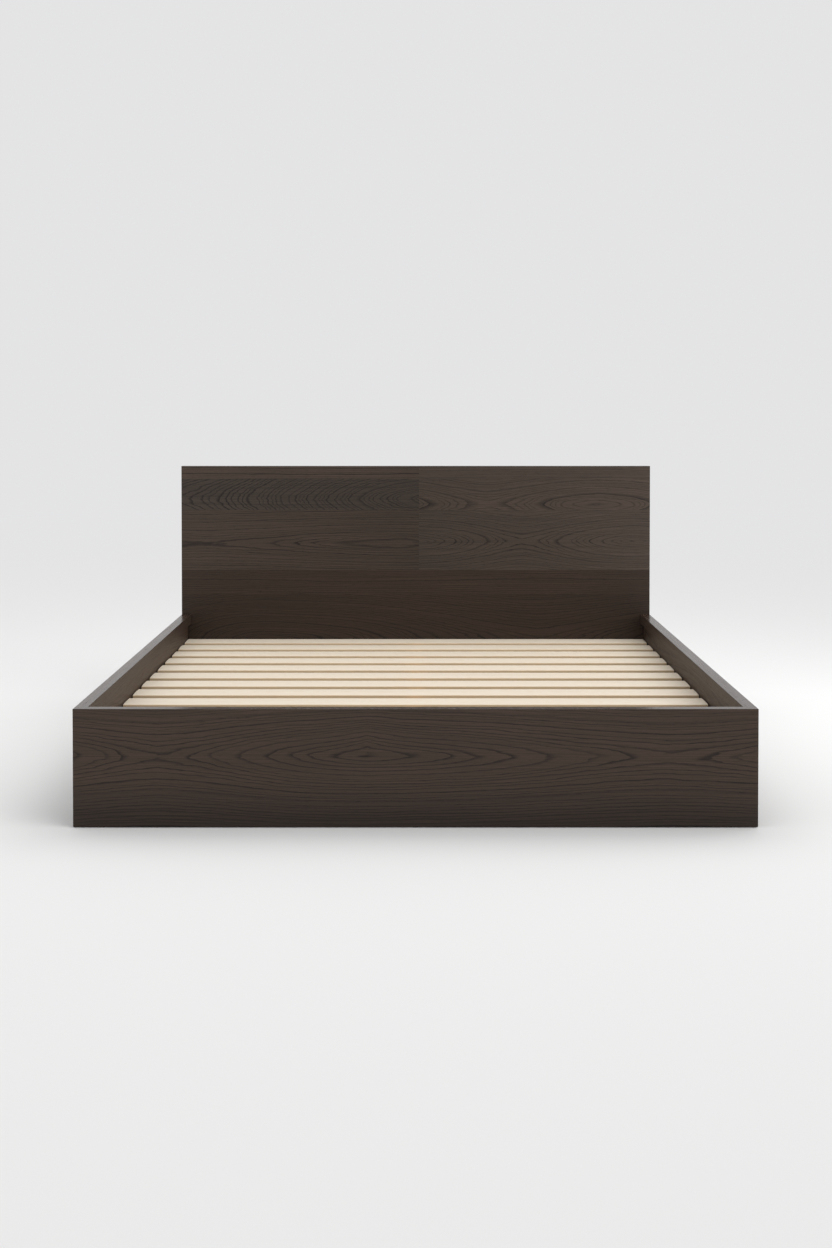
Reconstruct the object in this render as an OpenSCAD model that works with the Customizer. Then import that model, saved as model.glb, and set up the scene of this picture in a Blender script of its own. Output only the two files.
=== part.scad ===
// Low platform bed frame: a box of dark boards on the floor, a taller plain headboard, and slats
// that rest on ledges and a mid beam. The origin is on the floor under the middle of the frame,
// +Y points to the headboard and +X to the right of someone who stands at the foot.

/* [Mattress] */
// Width of the mattress that the frame takes
mattress_w = 1600; // [1000:10:2000]
// Length of the mattress
mattress_l = 2000; // [1600:10:2400]
// Free gap between the mattress and each side lip
mattress_side_gap = 17; // [5:1:30]
// Free gap between the mattress and each end
mattress_end_gap = 20; // [5:1:40]

/* [Rails and footboard] */
// Height of the side rails and the footboard above the floor
rail_h = 296; // [270:1:400]
// Thickness of the rail boards and the footboard
board_t = 22; // [18:1:30]
// Thickness of the lip strip glued inside the top edge
lip_t = 11; // [8:1:20]
// Height of the lip strip
lip_h = 35; // [20:1:60]

/* [Headboard] */
// Height of the headboard above the floor
headboard_h = 835; // [690:5:1200]
// Thickness of the headboard
headboard_t = 33; // [24:1:45]
// Height of the first board, counted from the top
row_1_h = 46; // [30:1:60]
// Height of the second board
row_2_h = 113; // [80:1:140]
// Height of the third board
row_3_h = 219; // [150:1:240]
// Height of the fourth board
row_4_h = 87; // [60:1:110]
// Height of the fifth board; the sixth takes what is left down to the floor
row_5_h = 190; // [150:1:210]
// How far the butt joint of the upper boards sits to the right of the middle
butt_shift = 12; // [-200:1:200]

/* [Slats] */
// Number of slats
slat_count = 12; // [8:1:16]
// Width of one slat
slat_w = 116; // [70:1:140]
// Thickness of one slat at its crown
slat_t = 18; // [15:1:26]
// Height of the crown across a slat
slat_crown = 1.5; // [0.5:0.5:5]
// Radius of the rounded upper long edges
slat_edge_r = 3; // [2:0.5:6]
// Depth of the slat tops below the rail tops
slat_recess = 88; // [60:1:105]
// Gap between a slat end and the rail board
slat_end_gap = 3; // [1:0.5:8]
// Gap between the first slat and the headboard
slat_head_gap = 6; // [2:1:30]
// Gap between the last slat and the footboard lip
slat_foot_gap = 74; // [10:1:120]

/* [Slat supports] */
// Width of the ledge strips
ledge_w = 30; // [22:1:45]
// Height of the ledge strips
ledge_h = 40; // [30:1:50]
// Screws that hold each ledge
ledge_screw_count = 7; // [4:1:10]
// Width of the mid beam
beam_w = 38; // [30:1:60]
// Height of the mid beam
beam_h = 70; // [50:1:90]
// Side of the square centre legs
leg_w = 45; // [36:1:60]
// Distance between the two centre legs
leg_spacing = 760; // [400:10:1200]
// How far a levelling foot screws up from its rest height
foot_up = 8; // [4:1:10]
// How far a levelling foot screws down from its rest height
foot_down = 12; // [5:1:15]

/* [Fittings] */
// Height of the corner angles
angle_h = 110; // [90:1:125]
// Length of each leg of the corner angles
angle_leg = 45; // [38:1:60]
// Steel thickness of the corner angles
angle_t = 2.5; // [2:0.5:4]
// Radius of the corner bolts
bolt_r = 3; // [2.5:0.5:4]
// Radius of the corner dowels
dowel_r = 4; // [3:0.5:5]
// Radius of the slat pegs
peg_r = 4; // [3:0.5:5]
// Thickness of the glides under the boards
glide_t = 2; // [1.5:0.5:5]
// Radius of the glides
glide_r = 9; // [7:0.5:9]

/* [Hidden] */
$fn = 48;

lip_reach = board_t + lip_t;
frame_w = mattress_w + 2 * mattress_side_gap + 2 * lip_reach;
inner_l = mattress_l + 2 * mattress_end_gap;
frame_l = lip_reach + inner_l + headboard_t;

side_x = frame_w / 2;
rail_in_x = side_x - board_t;
lip_in_x = side_x - lip_reach;
foot_y = -frame_l / 2;
foot_in_y = foot_y + board_t;
foot_lip_y = foot_y + lip_reach;
head_y = frame_l / 2 - headboard_t;
rail_l = head_y - foot_in_y;
lip_z = rail_h - lip_h;

slat_top_z = rail_h - slat_recess;
slat_low_z = slat_top_z - slat_t;
slat_l = 2 * (rail_in_x - slat_end_gap);
slat_last_y = head_y - slat_head_gap - slat_w / 2;
slat_pitch = (inner_l - slat_head_gap - slat_foot_gap - slat_w) / (slat_count - 1);
function slat_y(i) = slat_last_y - (i - 1) * slat_pitch;

ledge_x = rail_in_x - ledge_w / 2;
ledge_z = slat_low_z - ledge_h;
slat_low_edge_r = 1.5;
ledge_end_gap = 1;
peg_in_ledge = 14;
peg_in_slat = 9;
hole_spare = 1;

// Wood screws through the ledges, and the pan-head screws of the beam brackets
screw_r = 2;
screw_head_r = 4;
screw_head_h = 2.5;
ledge_screw_bite = 14;
ledge_screw_end = 90;
bracket_screw_l = 15;

// Steel shoes that carry the ends of the mid beam
shoe_t = 2;
shoe_depth = 40;
shoe_h = 54;
shoe_ear = 24;
shoe_play = 0.5;
beam_end_gap = 1.5;
beam_z = slat_low_z - beam_h;
beam_y0 = foot_in_y + shoe_t + beam_end_gap;
beam_y1 = head_y - shoe_t - beam_end_gap;

// Centre legs and the levelling feet that screw into them
pad_h = 12;
pad_r = 18;
pad_boss_r = 9;
stem_r = 4;
stem_seat_z = 3;
stem_grip = 25;
foot_spare = 2;
leg_z = pad_h + foot_up + foot_spare;
leg_h = beam_z - leg_z;
tee_r = 5.5;
tee_l = 14;
tee_flange_r = 12;
tee_flange_t = 1.5;
stem_play = 0.3;
hanger_r = 4;
hanger_in_leg = 22;
hanger_in_beam = 35;

// Corner angles with bolts and threaded inserts, and the dowels that line the boards up
angle_drop = 10;
angle_z = ledge_z - angle_drop - angle_h;
angle_mid_z = angle_z + angle_h / 2;
angle_bolt_edge = 25;
angle_bolt_x = 27;
bolt_play = 0.4;
bolt_bite = 12;
bolt_head_r = 1.9 * bolt_r;
bolt_head_h = 1.1 * bolt_r;
insert_wall = 1.5;
insert_l = 13;
dowel_in_rail = 23;
dowel_in_end = 11;
dowel_drop = 30;

glide_inset = 60;

dark_stain = "#43382f";
pale_birch = "#e4d9c5";
raw_pine = "#cdb083";
beech = "#d3b48a";
zinc = "#b9bdc1";
brass = "#b8995a";
black_plastic = "#2a2a2b";

split_rows = 3;
row_heights = [row_1_h, row_2_h, row_3_h, row_4_h, row_5_h];
function sum_to(list, n) = n == 0 ? 0 : list[n - 1] + sum_to(list, n - 1);
row_count = len(row_heights) + 1;
function row_top(i) = headboard_h - sum_to(row_heights, i - 1);
function row_bottom(i) = i == row_count ? glide_t : row_top(i + 1);

function two_digits(i) = i < 10 ? str("0", i) : str(i);
function slat_name(i) = str("slat_", two_digits(i));
function row_name(i, side) = str("headboard_board_", i, side);
sides = [["left", -1], ["right", 1]];
ends = [["foot_end", -1], ["head_end", 1]];
function end_y(e) = e[1] * leg_spacing / 2;

// ---- shared shapes ----

// Box from its lowest corner to its highest
module slab(low, high) {
    translate(low) cube(high - low);
}

// Rectangle with round corners, centred
module round_rect(w, h, r) {
    square([w - 2 * r, h], center = true);
    square([w, h - 2 * r], center = true);
    for (x = [-1, 1], y = [-1, 1]) translate([x * (w / 2 - r), y * (h / 2 - r)]) circle(r);
}

// Places its children at both ends of the frame's length, facing inwards along +Y
module at_foot() {
    translate([0, foot_in_y, 0]) children();
}

module at_head() {
    translate([0, head_y, 0]) mirror([0, 1, 0]) children();
}

module at_end(e) {
    if (e[1] < 0) at_foot() children();
    else at_head() children();
}

// Places its children on the right as they are, and on the left mirrored
module at_side(s) {
    scale_x = s[1];
    if (scale_x < 0) mirror([1, 0, 0]) children();
    else children();
}

// Inner corner between the rail on the right and the end board that lies along y = 0
module at_inner_corner() {
    translate([rail_in_x, 0, 0]) children();
}

// ---- holes that several pieces share ----

module corner_dowel(spare) {
    for (z = [angle_mid_z, lip_z - dowel_drop])
        translate([side_x - board_t / 2, -dowel_in_end - spare, z]) rotate([-90, 0, 0])
            cylinder(r = dowel_r, h = dowel_in_end + dowel_in_rail + 2 * spare);
}

// The four bolt places of one corner: two through the rail, two through the end board
module at_bolt_places() {
    for (z = [angle_z + angle_bolt_edge, angle_z + angle_h - angle_bolt_edge]) {
        at_inner_corner() translate([0, angle_bolt_x, z]) rotate([0, 90, 0]) children();
        at_inner_corner() translate([-angle_bolt_x, 0, z]) rotate([90, 0, 0]) children();
    }
}

module insert_holes() {
    at_bolt_places() cylinder(r = bolt_r + insert_wall, h = insert_l + hole_spare);
}

module end_board_holes() {
    for (s = sides) at_side(s) {
        corner_dowel(hole_spare);
        insert_holes();
    }
    at_shoe_screws() cylinder(r = screw_r, h = bracket_screw_l + hole_spare);
}

module at_ledge_screws() {
    first = foot_in_y + ledge_screw_end;
    step = (rail_l - 2 * ledge_screw_end) / (ledge_screw_count - 1);
    for (i = [0:ledge_screw_count - 1])
        translate([rail_in_x, first + i * step, ledge_z + ledge_h / 2]) rotate([0, 90, 0]) children();
}

module at_shoe_screws() {
    edge = beam_w / 2 + shoe_play + shoe_t + shoe_ear / 2;
    for (x = [-1, 1], z = [12, shoe_h - 12])
        translate([x * edge, 0, beam_z - shoe_t + z]) rotate([90, 0, 0]) children();
}

module at_pegs() {
    for (i = [1:slat_count], x = [-1, 1]) translate([x * ledge_x, slat_y(i), slat_low_z]) children();
}

// ---- boards ----

module footboard() {
    color(dark_stain) difference() {
        slab([-side_x, foot_y, glide_t], [side_x, foot_in_y, rail_h]);
        at_foot() end_board_holes();
    }
}

// The strip is mitred where it meets the strips of the rails
module footboard_lip() {
    color(dark_stain) translate([0, 0, lip_z]) linear_extrude(lip_h) polygon([
        [-rail_in_x, foot_in_y], [rail_in_x, foot_in_y],
        [lip_in_x, foot_lip_y], [-lip_in_x, foot_lip_y]
    ]);
}

module side_rail(s) {
    color(dark_stain) at_side(s) difference() {
        slab([rail_in_x, foot_in_y, glide_t], [side_x, head_y, rail_h]);
        for (e = ends) at_end(e) {
            corner_dowel(hole_spare);
            insert_holes();
        }
        at_ledge_screws() cylinder(r = screw_r, h = ledge_screw_bite + hole_spare);
    }
}

module rail_lip(s) {
    color(dark_stain) at_side(s) translate([0, 0, lip_z]) linear_extrude(lip_h) polygon([
        [rail_in_x, foot_in_y], [rail_in_x, head_y],
        [lip_in_x, head_y], [lip_in_x, foot_lip_y]
    ]);
}

// One board of the headboard; the upper rows are butted from a left and a right board
module headboard_board(i, from_x, to_x) {
    color(dark_stain) difference() {
        slab([from_x, head_y, row_bottom(i)], [to_x, head_y + headboard_t, row_top(i)]);
        at_head() end_board_holes();
    }
}

// ---- slats and what carries them ----

// Points along an arc
function arc(centre, r, from_a, to_a, steps) =
    [for (i = [0:steps]) let (a = from_a + (to_a - from_a) * i / steps) centre + r * [cos(a), sin(a)]];

// Half of the outline, from the middle of the crown to the middle of the flat underside
function half_section() =
    let (
        half = slat_w / 2,
        crown_r = (half * half + slat_crown * slat_crown) / (2 * slat_crown),
        crown_mid = [0, slat_t - crown_r],
        turn = asin((half - slat_edge_r) / (crown_r - slat_edge_r)),
        edge_mid = crown_mid + (crown_r - slat_edge_r) * [sin(turn), cos(turn)],
        low_mid = [half - slat_low_edge_r, slat_low_edge_r]
    )
    concat(
        arc(crown_mid, crown_r, 90, 90 - turn, 8),
        arc(edge_mid, slat_edge_r, 90 - turn, 0, 6),
        arc(low_mid, slat_low_edge_r, 0, -90, 3)
    );

// Crowned top with round upper edges, on a flat underside at z = 0
module slat_section() {
    right = half_section();
    left = [for (i = [len(right) - 1:-1:1]) [-right[i][0], right[i][1]]];
    polygon(concat(right, left));
}

module slat(i) {
    color(pale_birch) difference() {
        translate([0, slat_y(i), slat_low_z]) rotate([90, 0, 90])
            linear_extrude(slat_l, center = true) slat_section();
        for (x = [-1, 1]) translate([x * ledge_x, slat_y(i), slat_low_z - hole_spare])
            cylinder(r = peg_r, h = peg_in_slat + 2 * hole_spare);
    }
}

module slat_ledge(s) {
    color(dark_stain) difference() {
        at_side(s) slab(
            [rail_in_x - ledge_w, foot_in_y + ledge_end_gap, ledge_z],
            [rail_in_x, head_y - ledge_end_gap, slat_low_z]
        );
        at_side(s) at_ledge_screws() ledge_screw();
        at_pegs() translate([0, 0, -peg_in_ledge - hole_spare])
            cylinder(r = peg_r, h = peg_in_ledge + 2 * hole_spare);
    }
}

module slat_pegs() {
    color(beech) at_pegs() translate([0, 0, -peg_in_ledge])
        cylinder(r = peg_r, h = peg_in_ledge + peg_in_slat);
}

// Countersunk wood screw along +Z; z = 0 is where the ledge meets the rail
module ledge_screw() {
    rotate_extrude() polygon([
        [0, -ledge_w], [screw_head_r, -ledge_w], [screw_r, -ledge_w + screw_head_h],
        [screw_r, ledge_screw_bite], [0, ledge_screw_bite]
    ]);
}

module ledge_screws() {
    color(zinc) for (s = sides) at_side(s) at_ledge_screws() ledge_screw();
}

module mid_beam() {
    color(raw_pine) difference() {
        slab([-beam_w / 2, beam_y0, beam_z], [beam_w / 2, beam_y1, slat_low_z]);
        for (e = ends) translate([0, end_y(e), beam_z - hole_spare])
            cylinder(r = hanger_r, h = hanger_in_beam + 2 * hole_spare);
    }
}

// Folded steel shoe that hangs the beam from an end board
module beam_shoe(e) {
    inner = beam_w / 2 + shoe_play;
    outer = inner + shoe_t;
    color(zinc) at_end(e) difference() {
        union() {
            slab([-outer - shoe_ear, 0, beam_z - shoe_t], [outer + shoe_ear, shoe_t, beam_z - shoe_t + shoe_h]);
            slab([-outer, 0, beam_z - shoe_t], [outer, shoe_depth, beam_z]);
            for (x = [-outer, inner])
                slab([x, 0, beam_z - shoe_t], [x + shoe_t, shoe_depth, beam_z - shoe_t + shoe_h]);
        }
        at_shoe_screws() translate([0, 0, -shoe_t - 1]) cylinder(r = screw_r + bolt_play, h = shoe_t + 2);
    }
}

// Pan-head screw along +Z; z = 0 is the face of the board
module shoe_screw() {
    cylinder(r = screw_r, h = bracket_screw_l);
    translate([0, 0, -shoe_t]) cylinder(r = screw_r, h = shoe_t);
    translate([0, 0, -shoe_t - screw_head_h]) cylinder(r = screw_head_r, h = screw_head_h);
}

module beam_shoe_screws() {
    color(zinc) for (e = ends) at_end(e) at_shoe_screws() shoe_screw();
}

module centre_leg(e) {
    color(raw_pine) translate([0, end_y(e), leg_z]) difference() {
        translate([-leg_w / 2, -leg_w / 2, 0]) cube([leg_w, leg_w, leg_h]);
        translate([0, 0, -1]) cylinder(r = tee_r, h = stem_grip + foot_up + foot_spare + 1);
        translate([0, 0, -1]) cylinder(r = tee_flange_r, h = tee_flange_t + 1);
        translate([0, 0, leg_h - hanger_in_leg - hole_spare])
            cylinder(r = hanger_r, h = hanger_in_leg + 2 * hole_spare);
    }
}

module leg_hanger_screws() {
    color(zinc) for (e = ends) translate([0, end_y(e), beam_z - hanger_in_leg])
        cylinder(r = hanger_r, h = hanger_in_leg + hanger_in_beam);
}

// Flanged nut let into the foot of a centre leg
module leg_tee_nut(e) {
    color(zinc) translate([0, end_y(e), leg_z]) difference() {
        union() {
            cylinder(r = tee_r, h = tee_l);
            cylinder(r = tee_flange_r, h = tee_flange_t);
        }
        translate([0, 0, -1]) cylinder(r = stem_r + stem_play, h = tee_l + 2);
    }
}

module levelling_stem(e) {
    color(zinc) translate([0, end_y(e), stem_seat_z])
        cylinder(r = stem_r, h = leg_z + stem_grip - stem_seat_z);
}

module levelling_pad(e) {
    color(black_plastic) translate([0, end_y(e), 0]) rotate_extrude() polygon([
        [0, 0], [pad_r - 1, 0], [pad_r, 1], [pad_r, 4], [pad_boss_r, 8], [pad_boss_r, pad_h],
        [stem_r, pad_h], [stem_r, stem_seat_z], [0, stem_seat_z]
    ]);
}

// ---- corner fittings ----

module corner_angle(e, s) {
    color(zinc) at_end(e) at_side(s) difference() {
        at_inner_corner() translate([0, 0, angle_z]) linear_extrude(angle_h) angle_section();
        at_bolt_places() translate([0, 0, -angle_t - 1]) cylinder(r = bolt_r + bolt_play, h = angle_t + 2);
    }
}

// L section with its outer corner at the origin and a round bend inside
module angle_section() {
    bend = 2 * angle_t;
    difference() {
        translate([-angle_leg, 0]) square(angle_leg);
        translate([-angle_leg - 1, angle_t + bend]) square([angle_leg + 1 - angle_t, angle_leg]);
        translate([-angle_leg - 1, angle_t]) square([angle_leg + 1 - angle_t - bend, angle_leg]);
        translate([-angle_t - bend, angle_t + bend]) circle(bend);
    }
}

// Button-head bolt along +Z; z = 0 is the face of the board
module corner_bolt() {
    socket_r = 0.6 * bolt_r;
    translate([0, 0, -angle_t]) cylinder(r = bolt_r, h = angle_t + bolt_bite);
    difference() {
        translate([0, 0, -angle_t - bolt_head_h]) cylinder(r = bolt_head_r, h = bolt_head_h);
        translate([0, 0, -angle_t - bolt_head_h - 1]) cylinder(r = socket_r, h = bolt_head_h / 2 + 1, $fn = 6);
    }
}

module corner_bolts() {
    color(zinc) for (e = ends, s = sides) at_end(e) at_side(s) at_bolt_places() corner_bolt();
}

module threaded_inserts() {
    color(brass) for (e = ends, s = sides) at_end(e) at_side(s) at_bolt_places() difference() {
        cylinder(r = bolt_r + insert_wall, h = insert_l);
        translate([0, 0, -1]) cylinder(r = bolt_r, h = insert_l + 2);
    }
}

module corner_dowels() {
    color(beech) for (e = ends, s = sides) at_end(e) at_side(s) corner_dowel(0);
}

// Stick-on glides keep the lower edges just clear of the floor
module floor_glides() {
    board_mid_x = side_x - board_t / 2;
    color(black_plastic) {
        for (x = [-board_mid_x + glide_inset, 0, board_mid_x - glide_inset]) {
            translate([x, foot_y + board_t / 2, 0]) cylinder(r = glide_r, h = glide_t);
            translate([x, head_y + headboard_t / 2, 0]) cylinder(r = glide_r, h = glide_t);
        }
        for (x = [-board_mid_x, board_mid_x], y = [-rail_l / 4, rail_l / 4])
            translate([x, y, 0]) cylinder(r = glide_r, h = glide_t);
    }
}

// ---- every node ----

footboard();
footboard_lip();
for (s = sides) {
    side_rail(s);
    rail_lip(s);
    slat_ledge(s);
}
for (i = [1:split_rows]) {
    headboard_board(i, -side_x, butt_shift);
    headboard_board(i, butt_shift, side_x);
}
for (i = [split_rows + 1:row_count])
    headboard_board(i, -side_x, side_x);
for (i = [1:slat_count])
    slat(i);
mid_beam();
for (e = ends) {
    beam_shoe(e);
    centre_leg(e);
    leg_tee_nut(e);
    levelling_stem(e);
    levelling_pad(e);
}
for (e = ends, s = sides)
    corner_angle(e, s);
corner_bolts();
threaded_inserts();
corner_dowels();
slat_pegs();
ledge_screws();
beam_shoe_screws();
leg_hanger_screws();
floor_glides();
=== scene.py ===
"""Platform bed frame: dark oak boards, pale birch slats and fittings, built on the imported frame."""

import math
import re
from dataclasses import dataclass

import bmesh
import bpy
from bpy.props import FloatProperty, FloatVectorProperty, PointerProperty
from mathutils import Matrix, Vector


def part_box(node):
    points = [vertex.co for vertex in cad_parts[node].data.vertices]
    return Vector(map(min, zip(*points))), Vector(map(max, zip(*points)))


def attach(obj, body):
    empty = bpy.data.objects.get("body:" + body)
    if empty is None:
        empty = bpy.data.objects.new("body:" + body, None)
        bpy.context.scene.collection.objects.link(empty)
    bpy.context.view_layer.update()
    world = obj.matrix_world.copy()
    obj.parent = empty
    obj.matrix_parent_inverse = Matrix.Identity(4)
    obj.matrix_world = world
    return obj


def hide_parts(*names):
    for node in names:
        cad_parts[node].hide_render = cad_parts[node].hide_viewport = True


bl_info = {
    "name": "Platform Bed Frame",
    "version": (1, 0, 0),
    "blender": (4, 5, 0),
    "location": "3D View > Sidebar > Bed Frame",
    "description": "Builds a dark oak platform bed frame with pale slats, piece by piece",
    "category": "Object",
}

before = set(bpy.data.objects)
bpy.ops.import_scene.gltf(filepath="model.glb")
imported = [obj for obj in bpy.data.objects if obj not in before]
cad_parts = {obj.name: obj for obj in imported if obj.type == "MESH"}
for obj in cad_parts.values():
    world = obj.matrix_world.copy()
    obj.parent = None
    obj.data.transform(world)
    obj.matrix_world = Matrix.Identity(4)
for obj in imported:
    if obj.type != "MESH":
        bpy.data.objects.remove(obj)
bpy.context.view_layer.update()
BODY = "frame"
ENDS = ("foot_end", "head_end")
SIDES = ("left", "right")
SEED = 7
LACQUER_INDEX = 1.33

# Patches of each pattern in wood: length along the grain and width across it in millimetres, and detail.
BENDS = (430, 150, 2)
WAVER = (80, 13, 2)
BROAD = (620, 60, 2)
# Real pores and fibres are a few tenths of a millimetre wide. That is too fine to show on a whole bed, so
# both are drawn as coarse as they need to show.
PORES = (24, 2.8, 2)
STREAKS = (300, 2.9, 3)
# The noise values between which pores show, and those that streaks and broad shading are stretched from.
PORE_SPAN, SHADE_SPAN = (0.52, 0.66), (0.25, 0.75)
# The share of the pores that late wood keeps.
LATE_PORES = 0.3
# How far the lines waver in millimetres.
WAVER_SIZE = 5.5
# How many ring widths good and bad years move a line, and how quickly one year follows another in that.
YEARS_SIZE, YEARS_RATE = 2.4, 0.31
# The shape of a ring, between a diamond's 1 and a circle's 2: figures get sharp tips, straight flanks.
POINTED = 1.65
# How smoothly the pith turns where it lies deepest and least deep: 0 is a corner, 1 a full curve.
SOFTNESS = 0.7
SEED_STEP = (317.0, 191.0, 83.0)
# How far a peak over a figure's middle reaches along the board and across it, in millimetres.
PEAK_LENGTH, PEAK_HEIGHT = 150.0, 140.0
# The shares of a year in which its line comes and has gone again, and the weight of the palest line.
LINE_COMES, LINE_GONE, PALEST_LINE = 0.08, 0.42, 0.45
# Between these places across a board, from its figure's middle, painted shade darkens the wood towards a
# lower edge.
PAINTED_SHADE_SPAN = (-180.0, -40.0)
# How much a fibre streak and a pore roughen the surface, and how deep a line is next to a pore.
STREAK_ROUGHNESS, PORE_ROUGHNESS, LINE_DEPTH = 0.05, 0.12, 0.35
# How far a face has to look along Y before it starts to take the painted shade of a slat's side, and to take
# it throughout.
SHADED_SIDE_SPAN = (0.35, 0.85)
SMOOTH = {"interpolation_type": "SMOOTHSTEP"}
# The part of the log that slats are cut from: along, across and into it, in millimetres.
LOG_LOW, LOG_HIGH = (-900.0, -50.0, 10.0), (900.0, 50.0, 70.0)


def mm(value):
    """Millimetres as metres."""
    return value / 1000


# Points nearer to a plane than this lie in it.
TOUCH = mm(0.05)


def colour(code):
    """An sRGB hex colour as linear red, green, blue and alpha."""
    parts = [int(code[i : i + 2], 16) / 255 for i in (1, 3, 5)]
    return (*[c / 12.92 if c <= 0.04045 else ((c + 0.055) / 1.055) ** 2.4 for c in parts], 1.0)


def add(tree, kind, inputs=(), operation=None, **settings):
    """Adds a node. inputs are the values of its sockets or what feeds them, in order or under their keys.

    A node that is an input feeds the socket from its first output. settings are the node's own properties.
    """
    new = tree.nodes.new(kind)
    if operation:
        new.operation = operation
    for name, value in settings.items():
        setattr(new, name, value)
    for key, value in inputs.items() if isinstance(inputs, dict) else enumerate(inputs):
        if isinstance(value, bpy.types.Node):
            value = value.outputs[0]
        if isinstance(value, bpy.types.NodeSocket):
            tree.links.new(value, new.inputs[key])
        else:
            new.inputs[key].default_value = value
    return new


def corners(node):
    """The lowest and the highest corner of a CAD node."""
    return [Vector(corner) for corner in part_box(node)]


# ---- sizes and colours that a user would change ----


def metres(name, description, default, low=0.0, high=100.0):
    """A length that a user can change, in metres."""
    return FloatProperty(
        name=name, description=description, default=default, min=low, max=high, unit="LENGTH"
    )


def swatch(name, description, code):
    """A colour that a user can change."""
    return FloatVectorProperty(
        name=name, description=description, default=colour(code), size=4, subtype="COLOR"
    )


class BedSizes(bpy.types.PropertyGroup):
    """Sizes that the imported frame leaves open."""

    edge_radius: metres("Board Edge Radius", "Rounding of the boards' free edges", mm(1.1), mm(0.3), mm(4))
    slat_crown: metres(
        "Slat Crown",
        "How much thicker a slat is in its middle than at its long edges",
        mm(1.5),
        mm(0.5),
        mm(5),
    )
    slat_edge: metres("Slat Edge Radius", "Rounding of the slats' upper long edges", mm(3), mm(2), mm(6))
    slat_shift: metres(
        "Slat Shift", "How far a slat may lie from its place along its own length", mm(0.7), 0, mm(2)
    )


class BedColours(bpy.types.PropertyGroup):
    """Colours of the finishes."""

    stain: swatch("Oak Stain", "Stained oak between the annual rings", "#3f3229")
    stain_line: swatch(
        "Oak Stain in the Rings", "Stained oak where the open early wood has drunk more stain", "#1c1410"
    )
    slat: swatch("Slat Birch", "Planed birch of the slats", "#e7dbc8")
    pine: swatch("Raw Pine", "Planed pine of the mid beam and its legs", "#d9b98a")


class BedStage(bpy.types.PropertyGroup):
    """The viewpoint and the backdrop."""

    distance: metres("Camera Distance", "From the camera to the front of the footboard", 4.414)
    height: metres("Camera Height", "From the floor to the camera", 1.032)
    lens: FloatProperty(
        name="Focal Length",
        description="Focal length for a picture 36 mm high",
        default=51.62,
        unit="CAMERA",
    )
    pitch: FloatProperty(
        name="Camera Tilt",
        description="How far the camera looks down",
        default=math.radians(1.514),
        subtype="ANGLE",
    )
    shift: FloatProperty(
        name="Lens Shift",
        description="Vertical lens shift that puts the bed below the middle of the picture",
        default=-0.1322,
    )
    backdrop: swatch("Backdrop", "Colour of the room around the bed", "#e4e4e5")


# ---- wood ----


@dataclass
class Finish:
    """What one kind of wood and its surface treatment look like; lengths are in millimetres.

    buffed is how much smoother the faces that look up are than the rest. edge is a painted shade: a colour
    that multiplies the faces across Y, darker and warmer as the shade and bounce light in the gaps between
    slats.
    """

    wood: tuple
    line: tuple
    pore: tuple
    line_strength: float
    pore_strength: float
    streak: float
    broad: float
    roughness: float
    relief: float
    buffed: float = 0.0
    edge: tuple = None


@dataclass
class Growth:
    """How the annual rings run through one board; lengths are in millimetres.

    figure is the middle of the pointed figure, along and across from the board's middle. The pith lies depth
    behind the face there, and rise deeper at the distances in reach, where the next figure begins.
    ring is the width of a year. In the oak boards it is two or three times a real one, which would be too
    fine to show on a whole bed.
    peak is how steeply the lines rise to a peak over the figure, and wander how far the trunk bends.
    tone and warmth multiply the finish's colours; in the headboard and the rails tone also carries painted
    shade and light. The two after warmth are painted light too:
    a shade that darkens the board towards a lower edge, and a sheen that lightens it in each metre along the
    board.
    """

    figure: tuple = (0, 0)
    depth: float = 60
    rise: float = 26
    reach: tuple = (520, 740)
    ring: float = 4.2
    peak: float = 0.0
    wander: float = 9
    tone: float = 1.0
    warmth: float = 0.0
    painted_shade: float = 0.0
    painted_sheen: float = 0.0
    seed: float = 1.0


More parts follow.
